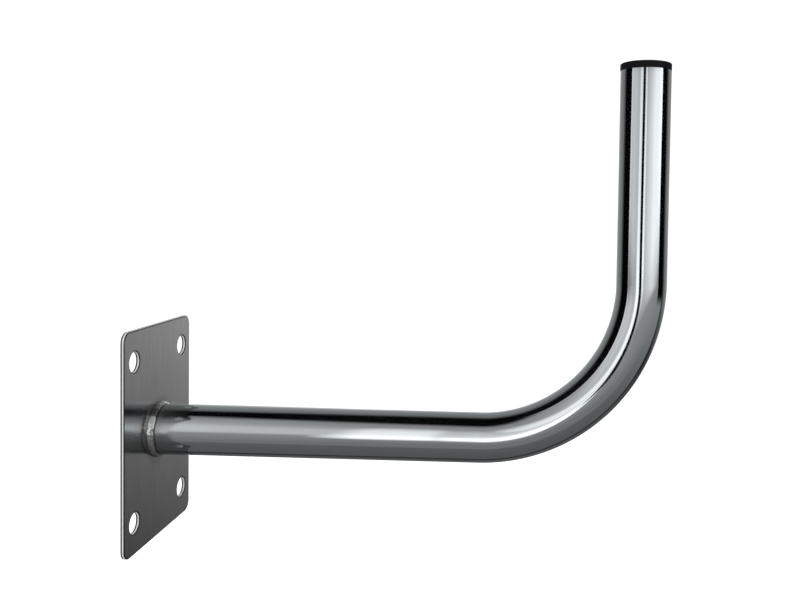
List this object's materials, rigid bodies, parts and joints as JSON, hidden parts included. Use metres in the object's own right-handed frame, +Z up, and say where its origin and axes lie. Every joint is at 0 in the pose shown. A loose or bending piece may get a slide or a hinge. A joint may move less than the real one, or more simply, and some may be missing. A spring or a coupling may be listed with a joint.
{
  "type": "satellite dish wall bracket",
  "caption": "Wall bracket for a satellite dish: rounded mounting plate with corner holes, welded round tube bent upwards into a mast, plastic cap on top.",
  "frame": {"origin": "middle of the wall plate's back face, on the arm's axis", "axes": "+X away from the wall along the arm, +Z up along the mast, +Y across the plate"},
  "size_m": [0.3575, 0.1, 0.335],
  "materials": {
    "plate_steel": "brushed, slightly darkened",
    "tube_steel": "polished",
    "weld_steel": "as welded",
    "cap_plastic": "satin moulded"
  },
  "bodies": {
    "root": {"wall_plate": "plate_steel", "bent_tube": "tube_steel", "weld_bead": "weld_steel", "end_cap": "cap_plastic"}
  },
  "joints": []
}
